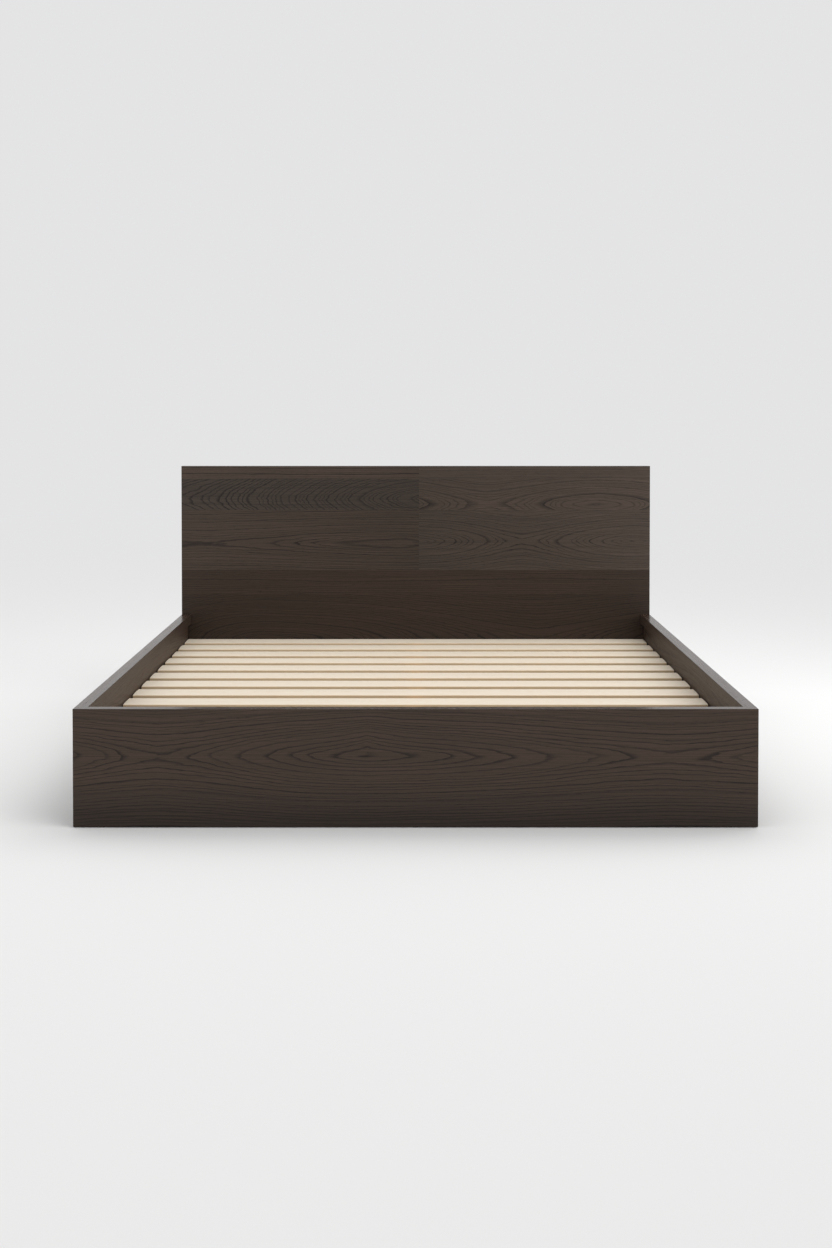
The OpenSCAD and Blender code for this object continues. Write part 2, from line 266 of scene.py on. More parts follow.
def growth_rings():
    """Node group that cuts a board out of a log: ring lines, pores, fibre streaks and broad shading."""
    group = bpy.data.node_groups.get("Growth Rings")
    if group:
        return group
    group = bpy.data.node_groups.new("Growth Rings", "ShaderNodeTree")
    group.interface.new_socket(name="Place", in_out="INPUT", socket_type="NodeSocketVector")
    for name in ("Depth", "Rise", "Reach Before", "Reach After", "Ring", "Peak", "Wander", "Seed"):
        group.interface.new_socket(name=name, in_out="INPUT", socket_type="NodeSocketFloat")
    for name in ("Line", "Pore", "Streak", "Broad"):
        group.interface.new_socket(name=name, in_out="OUTPUT", socket_type="NodeSocketFloat")
    value = add(group, "NodeGroupInput").outputs
    number, vector, span = "ShaderNodeMath", "ShaderNodeVectorMath", "ShaderNodeMapRange"

    along, across, depth = add(group, "ShaderNodeSeparateXYZ", [value["Place"]]).outputs
    # each seed moves the noise to another place
    own = add(group, vector, {0: SEED_STEP, "Scale": value["Seed"]}, "SCALE")
    place = add(group, vector, [value["Place"], own], "ADD")

    def grain_noise(length, width, detail):
        """Noise drawn out along the grain: length and width are the size of its patches."""
        squeeze = (1 / length, 1 / width, 1 / width)
        stretched = add(group, vector, [place, squeeze], "MULTIPLY")
        return add(
            group,
            "ShaderNodeTexNoise",
            {"Vector": stretched, "Scale": 1.0, "Detail": detail, "Roughness": 0.55},
        ).outputs

    # the pith sinks between two figures, so its depth goes to and fro along the board
    before = add(group, number, [along, 0.0], "LESS_THAN")
    reach = add(group, "ShaderNodeMix", {0: before, 2: value["Reach After"], 3: value["Reach Before"]})
    way = add(group, number, [along, reach], "DIVIDE")
    way = add(group, number, [way], "ABSOLUTE")
    way = add(group, number, [way, 1.0], "PINGPONG")
    soft = add(group, span, [way], **SMOOTH)
    way = add(group, "ShaderNodeMix", {0: SOFTNESS, 2: way, 3: soft})
    sink = add(group, number, [way, value["Rise"]], "MULTIPLY")

    # a bump on the trunk lifts the lines above the figure's middle to a peak
    away = add(group, number, [along], "ABSOLUTE")
    hat = add(group, span, {0: away, 2: PEAK_LENGTH, 3: 1.0, 4: 0.0})
    above = add(group, number, [across, 0.0], "MAXIMUM")
    settle = add(group, span, {0: above, 2: PEAK_HEIGHT, 3: 1.0, 4: 0.0})
    lift = above
    for share in (hat, hat, value["Peak"], settle, settle):
        lift = add(group, number, [lift, share], "MULTIPLY")
    across = add(group, number, [across, lift], "SUBTRACT")

    # slow bends of the trunk, different across and in depth
    bend = add(group, "ShaderNodeSeparateXYZ", [grain_noise(*BENDS)[1]]).outputs
    side, deep = (add(group, number, [part, 0.5], "SUBTRACT") for part in (bend[0], bend[1]))
    side, deep = (
        add(group, number, [part, value["Wander"], start], "MULTIPLY_ADD")
        for part, start in ((side, across), (deep, depth))
    )
    deep = add(group, number, [deep, value["Depth"]], "ADD")
    deep = add(group, number, [deep, sink], "ADD")

    # the distance from the pith
    parts = (add(group, number, [part], "ABSOLUTE") for part in (side, deep))
    side, deep = (add(group, number, [part, POINTED], "POWER") for part in parts)
    radius = add(group, number, [side, deep], "ADD")
    radius = add(group, number, [radius, 1 / POINTED], "POWER")

    # small bends make the lines waver, and good and bad years change the ring width
    waver = grain_noise(*WAVER)[0]
    radius = add(group, number, [waver, WAVER_SIZE, radius], "MULTIPLY_ADD")
    rings = add(group, number, [radius, value["Ring"]], "DIVIDE")
    years = add(group, number, [rings, YEARS_RATE], "MULTIPLY")
    years = add(group, number, [years, value["Seed"]], "ADD")
    years = add(
        group, "ShaderNodeTexNoise", {"W": years, "Scale": 1.0, "Detail": 1.0}, noise_dimensions="1D"
    )
    rings = add(group, number, [years, YEARS_SIZE, rings], "MULTIPLY_ADD")

    # each year has its own weight, and its line starts at once with the early wood and fades
    year = add(group, number, [rings], "FLOOR")
    year = add(group, number, [year, value["Seed"]], "ADD")
    weight = add(group, "ShaderNodeTexWhiteNoise", {"W": year}, noise_dimensions="1D")
    weight = add(group, span, {0: weight, 3: PALEST_LINE, 4: 1.0})
    season = add(group, number, [rings], "FRACT")
    start = add(group, span, {0: season, 2: LINE_COMES})
    fade = add(group, span, [season, LINE_COMES, LINE_GONE, 1.0, 0.0], **SMOOTH)
    line = start
    for share in (fade, weight):
        line = add(group, number, [line, share], "MULTIPLY")

    # pores sit closest in the early wood of each ring
    crowd = add(group, number, [fade, 1 - LATE_PORES, LATE_PORES], "MULTIPLY_ADD")
    pore = add(group, span, [grain_noise(*PORES)[0], *PORE_SPAN], **SMOOTH)
    pore = add(group, number, [pore, crowd], "MULTIPLY")
    streak, broad = (
        add(group, span, [grain_noise(*kind)[0], *SHADE_SPAN, -1.0, 1.0]) for kind in (STREAKS, BROAD)
    )
    add(group, "NodeGroupOutput", {"Line": line, "Pore": pore, "Streak": streak, "Broad": broad})
    return group


def blank(name):
    """A new material and its empty tree."""
    material = bpy.data.materials.new(name)
    material.use_nodes = True
    material.node_tree.nodes.clear()
    return material, material.node_tree


def wood(name, finish, growth, place):
    """A wood material; place(tree) gives the node with the place in the board, along, across and into it."""
    material, tree = blank(name)
    number, mix = "ShaderNodeMath", "ShaderNodeMix"
    spot = place(tree)
    inputs = {"Place": spot, "Reach Before": growth.reach[0], "Reach After": growth.reach[1]}
    for name in ("depth", "rise", "ring", "peak", "wander", "seed"):
        inputs[name.title()] = getattr(growth, name)
    grain = add(tree, "ShaderNodeGroup", inputs, node_tree=growth_rings()).outputs
    tint = (growth.tone * (1 + growth.warmth), growth.tone, growth.tone * (1 - growth.warmth), 1)
    parts = (finish.wood, finish.line, finish.pore)
    light, dark, hollow = (tuple(c * t for c, t in zip(part, tint)) for part in parts)
    amount = add(tree, number, [grain["Line"], finish.line_strength], "MULTIPLY")
    tone = add(tree, mix, {0: amount, 6: light, 7: dark}, data_type="RGBA").outputs[2]
    shade = 1.0
    for pattern, amount in (("Streak", finish.streak), ("Broad", finish.broad)):
        shade = add(tree, number, [grain[pattern], amount, shade], "MULTIPLY_ADD")
    along, across, _ = add(tree, "ShaderNodeSeparateXYZ", [spot]).outputs
    # painted sheen: the wood gets lighter along the board, towards one of its ends
    if growth.painted_sheen:
        start = growth.painted_sheen * growth.figure[0] / 1000
        painted_sheen = add(tree, number, [along, growth.painted_sheen / 1000, start], "MULTIPLY_ADD")
        shade = add(tree, number, [shade, painted_sheen], "ADD")
    # painted shade: the wood gets darker towards the board's lower edge, near the floor
    lower = add(tree, "ShaderNodeMapRange", [across, *PAINTED_SHADE_SPAN, 1 - growth.painted_shade, 1.0], **SMOOTH)
    shade = add(tree, number, [shade, lower], "MULTIPLY")
    tone = add(tree, "ShaderNodeVectorMath", {0: tone, "Scale": shade}, "SCALE")
    normal = add(tree, "ShaderNodeNewGeometry").outputs["Normal"]
    normal = add(tree, "ShaderNodeSeparateXYZ", [normal]).outputs
    # painted shade: the faces across Y get darker and warmer, as the shade and bounce light in the gaps
    # between slats
    if finish.edge:
        shaded_side = add(tree, number, [normal[1]], "ABSOLUTE")
        shaded_side = add(tree, "ShaderNodeMapRange", [shaded_side, *SHADED_SIDE_SPAN], **SMOOTH)
        shaded_sides = {0: shaded_side, 6: tone, 7: finish.edge}
        tone = add(tree, mix, shaded_sides, data_type="RGBA", blend_type="MULTIPLY").outputs[2]
    amount = add(tree, number, [grain["Pore"], finish.pore_strength], "MULTIPLY")
    tone = add(tree, mix, {0: amount, 6: tone, 7: hollow}, data_type="RGBA").outputs[2]
    rough = finish.roughness
    for pattern, amount in (("Streak", STREAK_ROUGHNESS), ("Pore", PORE_ROUGHNESS)):
        rough = add(tree, number, [grain[pattern], amount, rough], "MULTIPLY_ADD")
    if finish.buffed:
        upward = add(tree, number, [normal[2], 0.0], "MAXIMUM")
        rough = add(tree, number, [upward, -finish.buffed, rough], "MULTIPLY_ADD")
    hollows = add(tree, number, [grain["Line"], LINE_DEPTH, grain["Pore"]], "MULTIPLY_ADD")
    relief = {"Height": hollows, "Distance": mm(finish.relief), "Strength": 1.0}
    bump = add(tree, "ShaderNodeBump", relief, invert=True)
    look = {"Base Color": tone, "Roughness": rough, "Normal": bump, "IOR": LACQUER_INDEX}
    surface = add(tree, "ShaderNodeBsdfPrincipled", look)
    add(tree, "ShaderNodeOutputMaterial", {"Surface": surface})
    return material


def board_wood(name, finish, growth, node, along, face):
    """The wood of one board: along is the grain's axis, face the side that the rings are counted from."""
    low, high = (corner * 1000 for corner in corners(node))
    across = next(axis for axis in "ZYX" if axis not in (along, face[1]))
    outward = face[0] == "-"
    length, width, deep = ("XYZ".index(axis) for axis in (along, across, face[1]))
    middle = (low + high) / 2
    middle[length] += growth.figure[0]
    middle[width] += growth.figure[1]
    middle[deep] = low[deep] if outward else high[deep]
    scale = Vector((1000.0, 1000.0, 1000.0))
    scale[deep] *= 1 if outward else -1
    start = [-m * s / 1000 for m, s in zip(middle, scale)]

    def place(tree):
        spot = add(tree, "ShaderNodeTexCoord").outputs["Object"]
        local = add(tree, "ShaderNodeMapping", {"Vector": spot, "Location": start, "Scale": scale})
        axes = add(tree, "ShaderNodeSeparateXYZ", [local]).outputs
        return add(tree, "ShaderNodeCombineXYZ", [axes[length], axes[width], axes[deep]])

    return wood(name, finish, growth, place)


def stained_oak():
    """Oak with espresso stain and satin lacquer: dark ring lines, open pores, a grey sheen at low angles."""
    colours = bpy.context.scene.bed_colours
    return Finish(
        wood=colours.stain,
        line=colours.stain_line,
        pore=colour("#1a130f"),
        line_strength=1.0,
        pore_strength=0.46,
        streak=0.30,
        broad=0.06,
        roughness=0.48,
        buffed=0.24,
        relief=0.07,
    )


def slat_birch():
    """Birch, planed and matt lacquered: nearly even, with faint warm lines and short fibre flecks."""
    return Finish(
        wood=bpy.context.scene.bed_colours.slat,
        line=colour("#d2b88f"),
        pore=colour("#b99a6f"),
        line_strength=0.35,
        pore_strength=0.10,
        streak=0.035,
        broad=0.03,
        roughness=0.55,
        relief=0.015,
        # painted shade and warm bounce light on the slats' faces across Y
        edge=colour("#ecdcc6"),
    )


def raw_pine():
    """Planed pine with no finish: clear orange late-wood lines on pale wood, dull."""
    return Finish(
        wood=bpy.context.scene.bed_colours.pine,
        line=colour("#b07f45"),
        pore=colour("#8f6334"),
        line_strength=0.7,
        pore_strength=0.08,
        streak=0.05,
        broad=0.05,
        roughness=0.68,
        relief=0.03,
    )


# ---- metal and plastic ----


def mottled(name, tones, cloud, fine, rough, relief=0.0, metallic=1.0):
    """A material in clouds of two tones, its gloss and relief in a finer pattern.

    cloud and fine are each pattern's patch size in millimetres and its detail, rough is the range of
    roughness and relief a height in millimetres.
    """
    material, tree = blank(name)
    spot = add(tree, "ShaderNodeTexCoord").outputs["Object"]
    clouds, grain = (
        add(tree, "ShaderNodeTexNoise", {"Vector": spot, "Scale": 1 / mm(size), "Detail": detail})
        for size, detail in (cloud, fine)
    )
    first, second = (colour(code) for code in tones)
    tone = add(tree, "ShaderNodeMix", {0: clouds, 6: first, 7: second}, data_type="RGBA").outputs[2]
    gloss = add(tree, "ShaderNodeMapRange", [grain, 0.3, 0.7, rough[0], rough[1]])
    look = {"Base Color": tone, "Roughness": gloss, "Metallic": metallic}
    if relief:
        height = {"Height": grain, "Distance": mm(relief), "Strength": 1.0}
        look["Normal"] = add(tree, "ShaderNodeBump", height)
    surface = add(tree, "ShaderNodeBsdfPrincipled", look)
    add(tree, "ShaderNodeOutputMaterial", {"Surface": surface})
    return material


def bright_zinc(name="bright zinc plated steel"):
    """Zinc plated and passivated steel: cool grey, faint blue and straw clouds, slightly blotchy gloss."""
    tones = ("#b3bcc6", "#cfcbb9")
    return mottled(name, tones, cloud=(14, 3.0), fine=(1.2, 2.0), rough=(0.26, 0.42), relief=0.02)


def turned_brass():
    """Brass turned on an automatic lathe: warm yellow, in faint clouds, its gloss slightly uneven."""
    tones = ("#b6924c", "#c9a860")
    return mottled("turned brass", tones, cloud=(3, 2.0), fine=(3, 2.0), rough=(0.22, 0.36))


def moulded_plastic():
    """Black polyamide from a spark-eroded mould: even black with a fine matt grain."""
    name, tones, grain = "moulded black polyamide", ("#1f1f20", "#2c2c2e"), (0.6, 2.0)
    return mottled(name, tones, cloud=grain, fine=grain, rough=(0.5, 0.66), relief=0.05, metallic=0.0)


# ---- shapes ----


def put(name, data):
    """Makes an object from its data and puts it in the scene."""
    new = bpy.data.objects.new(name, data)
    bpy.context.scene.collection.objects.link(new)
    return new


def mesh_from(bm, name):
    """Turns bm into a mesh and lets bm go."""
    mesh = bpy.data.meshes.new(name)
    bm.to_mesh(mesh)
    bm.free()
    return mesh


def piece_from(bm, name, material, body, slot, *nodes):
    """Makes a mesh object from bm, lets it ride on a body and stand for the CAD nodes that it replaces."""
    mesh = mesh_from(bm, name)
    mesh.materials.append(material)
    piece = put(name, mesh)
    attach(piece, body)
    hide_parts(*nodes)
    return piece


def prism(outline, low, high):
    """A bmesh with a flat outline, anticlockwise from above, drawn up from low to high."""
    bm = bmesh.new()
    rings = [[bm.verts.new((x, y, z)) for x, y in outline] for z in (low, high)]
    count = len(outline)
    bm.faces.new(list(reversed(rings[0])))
    bm.faces.new(rings[1])
    for i in range(count):
        j = (i + 1) % count
        bm.faces.new((rings[0][i], rings[0][j], rings[1][j], rings[1][i]))
    bm.normal_update()
    return bm


def block(low, high):
    """A bmesh box between two corners."""
    outline = [(low[0], low[1]), (high[0], low[1]), (high[0], high[1]), (low[0], high[1])]
    return prism(outline, low[2], high[2])


def soften(bm, radius, sharp=()):
    """Rounds every edge, apart from those that lie in a region that one of the sharp tests accepts."""
    edges = [e for e in bm.edges if not any(all(test(v.co) for v in e.verts) for test in sharp)]
    bmesh.ops.bevel(
        bm, geom=edges, offset=radius, offset_type="OFFSET", segments=3, profile=0.5, affect="EDGES"
    )


def at(axis, value):
    """A test for points that lie on the plane where an axis has a value."""
    return lambda point: abs(point["XYZ".index(axis)] - value) < TOUCH


def turned(profile, steps=40, socket=None):
    """A bmesh turned round Z from (radius, height) points. socket is (radius at an angle, depth)."""
    bm = bmesh.new()
    turns = [2 * math.pi * i / steps for i in range(steps)]
    rings = []
    for r, z in profile:
        spots = [(0, 0, z)] if r == 0 else [(r * math.cos(a), r * math.sin(a), z) for a in turns]
        rings.append([bm.verts.new(spot) for spot in spots])
    if socket:
        radius, depth = socket
        top = profile[-1][1]
        for z in (top, top - depth):
            spots = [(radius(a) * math.cos(a), radius(a) * math.sin(a), z) for a in turns]
            rings.append([bm.verts.new(spot) for spot in spots])
        rings.append([bm.verts.new((0, 0, top - 1.15 * depth))])
    for lower, upper in zip(rings, rings[1:]):
        for i in range(steps):
            loop = [lower[i % len(lower)], lower[(i + 1) % len(lower)]]
            loop += [upper[(i + 1) % len(upper)], upper[i % len(upper)]]
            unique = list(dict.fromkeys(loop))
            if len(unique) > 2:
                bm.faces.new(unique)
    bmesh.ops.recalc_face_normals(bm, faces=bm.faces)
    return bm


def smooth(mesh, angle=32):
    """Smooth shading that stays crisp where the surface turns by more than an angle in degrees."""
    mesh.shade_smooth()
    mesh.set_sharp_from_angle(angle=math.radians(angle))


def loose_solids(node):
    """The lowest and highest corners of each separate solid in a CAD node."""
    bm = bmesh.new()
    bm.from_mesh(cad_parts[node].data)
    bmesh.ops.remove_doubles(bm, verts=bm.verts, dist=mm(0.005))
    seen, boxes = set(), []
    for start in bm.verts:
        if start in seen:
            continue
        seen.add(start)
        reached, edge = [start], [start]
        while edge:
            near = [e.other_vert(v) for v in edge for e in v.link_edges]
            edge = list({v for v in near if v not in seen})
            seen.update(edge)
            reached += edge
        spots = [v.co for v in reached]
        boxes.append(tuple(Vector(f(s[k] for s in spots) for k in range(3)) for f in (min, max)))
    bm.free()
    return boxes


def hexagon(flat):
    """The radius of a hexagon socket at an angle, from the distance of its flats to the middle."""
    return lambda angle: flat / math.cos((angle + math.pi / 6) % (math.pi / 3) - math.pi / 6)


def star(middle):
    """The radius of a rounded six-pointed socket at an angle, from its mean radius."""
    return lambda angle: middle * (1 + 0.2 * math.cos(6 * angle))


# ---- node trees for what repeats ----


def geometry_group(name, inputs):
    """An empty geometry node group with a Geometry input and output and the named inputs."""
    group = bpy.data.node_groups.new(name, "GeometryNodeTree")
    group.interface.new_socket(name="Geometry", in_out="INPUT", socket_type="NodeSocketGeometry")
    for label, kind in inputs.items():
        group.interface.new_socket(name=label, in_out="INPUT", socket_type="NodeSocket" + kind)
    group.interface.new_socket(name="Geometry", in_out="OUTPUT", socket_type="NodeSocketGeometry")
    return group


def slat_row_group():
    """Lays copies of one slat along a line, each from another part of the log and slightly out of place."""
    inputs = {"Count": "Int", "First": "Vector", "Step": "Vector", "Shift": "Float"}
    group = geometry_group("Slat Row", {**inputs, "Seed": "Int", "Material": "Material"})
    value = add(group, "NodeGroupInput").outputs
    vector, random = "ShaderNodeVectorMath", "FunctionNodeRandomValue"
    store, known = "GeometryNodeStoreNamedAttribute", "GeometryNodeInputNamedAttribute"
    kind = {"data_type": "FLOAT_VECTOR"}

    # the slats' ends stay in line to within the shift
    start = {"Count": value["Count"], "Start Location": value["First"], "Offset": value["Step"]}
    line = add(group, "GeometryNodeMeshLine", start)
    far = add(group, "ShaderNodeCombineXYZ", [value["Shift"]])
    back = add(group, vector, {0: far, "Scale": -1.0}, "SCALE")
    nudge = add(group, random, {0: back, 1: far, "Seed": value["Seed"]}, **kind)
    line = add(group, "GeometryNodeSetPosition", {0: line, "Offset": nudge})

    # the place in a slat, in millimetres, and the place in the log where each slat is cut
    own = add(group, "GeometryNodeInputPosition")
    own = add(group, vector, {0: own, "Scale": 1000.0}, "SCALE")
    slat = add(group, store, {0: value["Geometry"], "Name": "local", "Value": own}, **kind)
    row = add(group, "GeometryNodeInstanceOnPoints", {"Points": line, "Instance": slat})
    cut = add(group, random, {0: LOG_LOW, 1: LOG_HIGH, "Seed": value["Seed"]}, **kind)
    row = add(group, store, {0: row, "Name": "cut", "Value": cut}, domain="INSTANCE", **kind)
    row = add(group, "GeometryNodeRealizeInstances", [row])
    local, cut = (add(group, known, {"Name": name}, **kind) for name in ("local", "cut"))
    grain = add(group, vector, [local, cut], "ADD")
    row = add(group, store, {0: row, "Name": "grain", "Value": grain}, **kind)
    row = add(group, "GeometryNodeSetMaterial", {0: row, "Material": value["Material"]})
    add(group, "NodeGroupOutput", {"Geometry": row})
    return group


def fastener_group():
    """Sets a copy of one fastener on every point, its head towards the point's facing, turned at random."""
    group = geometry_group("Fasteners", {"Fastener": "Object", "Seed": "Int", "Material": "Material"})
    value = add(group, "NodeGroupInput").outputs
    shape = add(group, "GeometryNodeObjectInfo", {"Object": value["Fastener"]}).outputs["Geometry"]
    known = "GeometryNodeInputNamedAttribute"
    facing = add(group, known, {"Name": "facing"}, data_type="FLOAT_VECTOR")
    turn = add(group, "FunctionNodeAlignRotationToVector", {"Vector": facing}, axis="Z")
    angle = {2: 0.0, 3: 2 * math.pi, "Seed": value["Seed"]}
    angle = add(group, "FunctionNodeRandomValue", angle, data_type="FLOAT").outputs[1]
    spin = add(group, "FunctionNodeAxisAngleToRotation", {"Axis": (0.0, 0.0, 1.0), "Angle": angle})
    turn = add(group, "FunctionNodeRotateRotation", [turn, spin], rotation_space="LOCAL")
    placed = {"Points": value["Geometry"], "Instance": shape, "Rotation": turn}
    placed = add(group, "GeometryNodeInstanceOnPoints", placed)
    placed = add(group, "GeometryNodeRealizeInstances", [placed])
    placed = add(group, "GeometryNodeSetMaterial", {0: placed, "Material": value["Material"]})
    add(group, "NodeGroupOutput", {"Geometry": placed})
    return group


def grow(mesh, name, group, values, slot, *nodes):
    """Runs a node group on a mesh, keeps the result as a plain mesh, and lets it stand for CAD nodes."""
    piece = put(name, mesh)
    modifier = piece.modifiers.new(group.name, "NODES")
    modifier.node_group = group
    for item in group.interface.items_tree:
        if item.in_out == "INPUT" and item.name in values:
            modifier[item.identifier] = values[item.name]
    depsgraph = bpy.context.evaluated_depsgraph_get()
    result = bpy.data.meshes.new_from_object(
        piece.evaluated_get(depsgraph), preserve_all_data_layers=True, depsgraph=depsgraph
    )
    piece.modifiers.remove(modifier)
    piece.data = result
    result.name = name
    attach(piece, BODY)
    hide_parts(*nodes)
    return piece


# ---- operators ----


class BED_OT_box_boards(bpy.types.Operator):
    """Build the footboard, the side rails and the lip strips inside their top edges"""

    bl_idname = "bed.box_boards"
    bl_label = "Footboard and Rails"

    def execute(self, context):
        radius = context.scene.bed_sizes.edge_radius
        oak = stained_oak()
        low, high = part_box("footboard")
        figure = {"figure": (-120, 29), "depth": 14, "rise": 56, "reach": (519, 746), "peak": 0.72}
        # the footboard gets painted shade that darkens it towards the floor
        growth = Growth(ring=7.6, tone=1.06, painted_shade=0.48, seed=3.0, **figure)
        material = board_wood("stained oak, footboard", oak, growth, "footboard", "X", "-Y")
        bm = block(low, high)
        soften(bm, radius, [at("Y", high[1])])
        piece_from(bm, "footboard_panel", material, BODY, "dark_oak", "footboard")

        lip_low, lip_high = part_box("footboard_lip")
        lip_t = lip_high[1] - lip_low[1]
        outline = [
            (lip_low[0], lip_low[1]),
            (lip_high[0], lip_low[1]),
            (lip_high[0] - lip_t, lip_high[1]),
            (lip_low[0] + lip_t, lip_high[1]),
        ]
        growth = Growth(figure=(300, 60), depth=80, rise=10, seed=11.0)
        material = board_wood("stained oak, footboard lip", oak, growth, "footboard_lip", "X", "-Y")
        bm = prism(outline, lip_low[2], lip_high[2])
        mitre = lip_high[0] - lip_t - TOUCH
        soften(bm, radius, [at("Y", lip_low[1]), lambda point: abs(point.x) > mitre])
        piece_from(bm, "footboard_lip_strip", material, BODY, "dark_oak", "footboard_lip")

        for side, sign in zip(SIDES, (-1, 1)):
            self.rail(side, sign, radius, oak)
            self.lip(side, sign, radius, oak, lip_t)
        return {"FINISHED"}

    def rail(self, side, sign, radius, oak):
        node = "side_rail_" + side
        low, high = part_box(node)
        inner = high[0] if sign < 0 else low[0]
        figure = {"figure": (-180 * sign, 24), "depth": 95, "rise": 32, "reach": (620, 840)}
        # painted light: the left rail's wood is lighter and the right one's darker, for the light from the
        # right that falls on the left rail's inner face and leaves the right one in shade
        growth = Growth(ring=5.6, tone=1.1 - 0.12 * sign, warmth=0.04, seed=17.0 + sign, **figure)
        face = "+X" if sign < 0 else "-X"
        material = board_wood("stained oak, rail " + side, oak, growth, node, "Y", face)
        bm = block(low, high)
        soften(bm, radius, [at("X", inner), at("Y", low[1]), at("Y", high[1])])
        piece_from(bm, "rail_board_" + side, material, BODY, "dark_oak", node)

    def lip(self, side, sign, radius, oak, lip_t):
        node = "rail_lip_" + side
        low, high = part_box(node)
        outer, inner = (low[0], high[0]) if sign < 0 else (high[0], low[0])
        outline = [(outer, low[1]), (outer, high[1]), (inner, high[1]), (inner, low[1] + lip_t)]
        if sign < 0:
            outline.reverse()
        growth = Growth(figure=(250, 70), depth=70, rise=12, seed=23.0 + sign)
        face = "+X" if sign < 0 else "-X"
        material = board_wood("stained oak, rail lip " + side, oak, growth, node, "Y", face)
        bm = prism(outline, low[2], high[2])
        mitre = low[1] + lip_t + TOUCH
        soften(bm, radius, [at("X", outer), at("Y", high[1]), lambda point: point.y < mitre])
        piece_from(bm, "rail_lip_strip_" + side, material, BODY, "dark_oak", node)


class BED_OT_headboard(bpy.types.Operator):
    """Build the headboard from its edge-glued boards, each with its own figure and shade"""

    bl_idname = "bed.headboard"
    bl_label = "Headboard"

    # name: figure, depth, rise, reach, ring, tone, warmth, painted sheen. tone is partly each board's own
    # shade and partly painted shade that darkens the lower rows; the painted sheen lightens the upper boards
    # towards the headboard's outer ends and darkens them towards its middle.
    boards = {
        "1_left": ((0, 130), 40, 8, (520, 740), 5.0, 1.46, -0.08, -0.22),
        "1_right": ((60, -150), 40, 8, (520, 740), 5.0, 1.56, -0.12, 0.2),
        "2_left": ((560, -18), 30, 200, (1050, 300), 4.8, 1.10, -0.15, -0.15),
        "2_right": ((229, -36), 14, 60, (400, 400), 6.0, 1.58, -0.11, 0.25),
        "3_left": ((360, -12), 20, 30, (700, 300), 6.0, 1.22, -0.08, -0.3),
        "3_right": ((-446, -5), 12, 62, (300, 400), 6.0, 1.43, -0.12, 0.36),
        "4": ((-200, 150), 60, 16, (520, 740), 6.5, 0.82, 0.03, 0.0),
        "5": ((-560, -70), 16, 120, (500, 1000), 6.4, 0.68, 0.06, 0.0),
        "6": ((200, 20), 50, 40, (520, 740), 6.0, 0.70, 0.0, 0.0),
    }
    first_seed = 31.0

    def execute(self, context):
        radius = context.scene.bed_sizes.edge_radius
        oak = stained_oak()
        outer = corners("headboard_board_6")
        outer[1].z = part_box("headboard_board_1_left")[1][2]
        names = ("figure", "depth", "rise", "reach", "ring", "tone", "warmth", "painted_sheen")
        for k, (name, values) in enumerate(self.boards.items()):
            growth = Growth(seed=self.first_seed + k, **dict(zip(names, values)))
            node = "headboard_board_" + name
            low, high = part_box(node)
            # edges on a seam between two boards stay sharp
            seams = []
            for axis, letter in ((0, "X"), (2, "Z")):
                if low[axis] > outer[0][axis] + TOUCH:
                    seams.append(at(letter, low[axis]))
                if high[axis] < outer[1][axis] - TOUCH:
                    seams.append(at(letter, high[axis]))
            material = board_wood("stained oak, board " + name, oak, growth, node, "X", "-Y")
            bm = block(low, high)
            soften(bm, radius, seams)
            piece_from(bm, "headboard_plank_" + name, material, BODY, "dark_oak", node)
        return {"FINISHED"}


